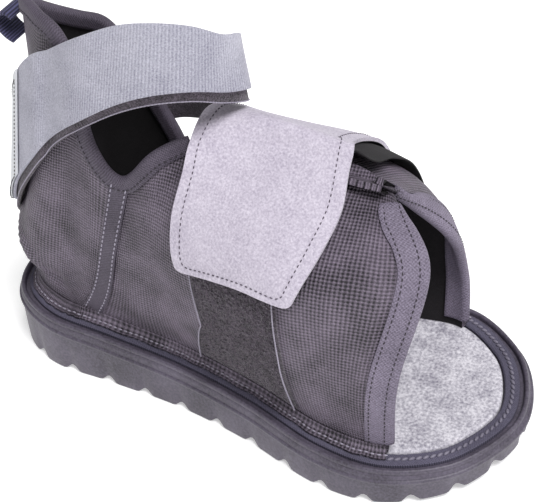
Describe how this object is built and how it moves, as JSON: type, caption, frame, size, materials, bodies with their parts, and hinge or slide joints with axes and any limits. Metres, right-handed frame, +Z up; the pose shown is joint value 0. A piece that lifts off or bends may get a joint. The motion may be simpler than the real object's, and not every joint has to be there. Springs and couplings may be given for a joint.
{
  "type": "post operative shoe",
  "caption": "Open-toed post operative shoe with a wide lugged sole, crossed cloth quarters, a forefoot flap and a standing ankle strap.",
  "frame": {"origin": "middle of the box round the shoe, at the floor under its sole", "axes": "+X towards the toe, +Y towards the wearer's left, +Z up"},
  "size_m": [0.27, 0.1173, 0.2139],
  "materials": {
    "dark_rubber": "matt moulded rubber",
    "rand_cloth": "stitched cloth ring",
    "grey_felt": "soft felt",
    "dark_nylon": "coarse woven nylon",
    "binding_tape": "woven tape",
    "loop_fabric": "fuzzy loop pile",
    "brushed_cloth": "short brushed nap",
    "black_backing": "dull black cloth",
    "light_webbing": "knitted elastic",
    "white_label": "plain woven label",
    "navy_grosgrain": "ribbed tape"
  },
  "bodies": {
    "root": {"outsole": "dark_rubber", "stitched_rand": "rand_cloth", "insole": "grey_felt", "upper": "dark_nylon", "turned_edge": "dark_nylon", "right_front_binding": "binding_tape", "left_front_binding": "binding_tape", "collar_binding": "binding_tape", "right_seam_tape": "binding_tape", "left_seam_tape": "binding_tape", "loop_patch": "loop_fabric", "forefoot_flap": "brushed_cloth", "flap_backing": "black_backing", "ankle_strap": "light_webbing", "ankle_strap_lining": "loop_fabric", "heel_label": "white_label", "pull_loop": "navy_grosgrain"}
  },
  "joints": []
}
